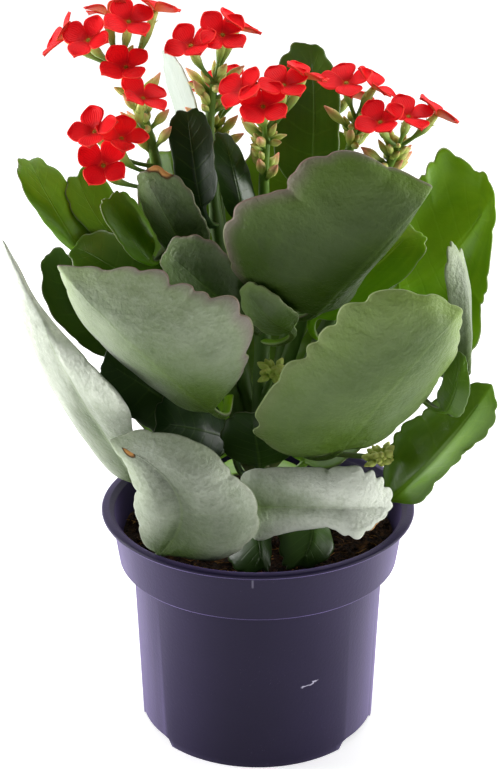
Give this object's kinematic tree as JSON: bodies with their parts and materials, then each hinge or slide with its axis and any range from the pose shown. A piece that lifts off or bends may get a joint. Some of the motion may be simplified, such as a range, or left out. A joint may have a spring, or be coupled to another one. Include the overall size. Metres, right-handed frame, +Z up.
{
  "type": "potted kalanchoe",
  "caption": "Flowering succulent pot plant with scalloped leaves and red four-petalled blooms in a round plastic grower's pot.",
  "frame": {"origin": "on the floor, on the pot's axis", "axes": "+Z up, -Y towards the plant's front, +X to the right seen from the front"},
  "size_m": [0.1794, 0.123, 0.2849],
  "materials": {
    "pot_plastic": "satin dark plum",
    "peat": "dark fibrous peat",
    "stem_green": "matt green",
    "leaf_green": "waxy green",
    "spray_green": "matt yellow-green",
    "petal_red": "satin red"
  },
  "bodies": {
    "root": {"blooms_back_left_1": "petal_red", "blooms_back_right_1": "petal_red", "blooms_left_1": "petal_red", "blooms_left_2": "petal_red", "blooms_left_3": "petal_red", "blooms_left_4": "petal_red", "blooms_left_5": "petal_red", "blooms_left_6": "petal_red", "blooms_middle_1": "petal_red", "blooms_middle_left_1": "petal_red", "blooms_middle_right_1": "petal_red", "blooms_right_1": "petal_red", "leaf_back_1": "leaf_green", "leaf_back_2": "leaf_green", "leaf_back_3": "leaf_green", "leaf_back_4": "leaf_green", "leaf_back_5": "leaf_green", "leaf_back_6": "leaf_green", "leaf_back_7": "leaf_green", "leaf_back_8": "leaf_green", "leaf_back_9": "leaf_green", "leaf_back_silver": "leaf_green", "leaf_back_top": "leaf_green", "leaf_centre_bright": "leaf_green", "leaf_far_left": "leaf_green", "leaf_front_centre": "leaf_green", "leaf_front_left": "leaf_green", "leaf_front_right": "leaf_green", "leaf_high_dark": "leaf_green", "leaf_high_narrow": "leaf_green", "leaf_inner_left": "leaf_green", "leaf_inner_low": "leaf_green", "leaf_inner_middle": "leaf_green", "leaf_left_behind": "leaf_green", "leaf_left_bract": "leaf_green", "leaf_left_bright": "leaf_green", "leaf_left_high": "leaf_green", "leaf_left_low": "leaf_green", "leaf_left_middle": "leaf_green", "leaf_low_left": "leaf_green", "leaf_low_right": "leaf_green", "leaf_right_dark": "leaf_green", "leaf_right_edge": "leaf_green", "leaf_right_tall": "leaf_green", "leaf_rim_centre": "leaf_green", "leaf_rim_left": "leaf_green", "leaf_rim_right": "leaf_green", "leaf_small_centre": "leaf_green", "leaf_worn_edge": "leaf_green", "pot": "pot_plastic", "soil": "peat", "spray_back_left": "spray_green", "spray_back_right": "spray_green", "spray_left": "spray_green", "spray_middle": "spray_green", "spray_middle_left": "spray_green", "spray_middle_right": "spray_green", "spray_right": "spray_green", "stem": "stem_green"}
  },
  "joints": []
}
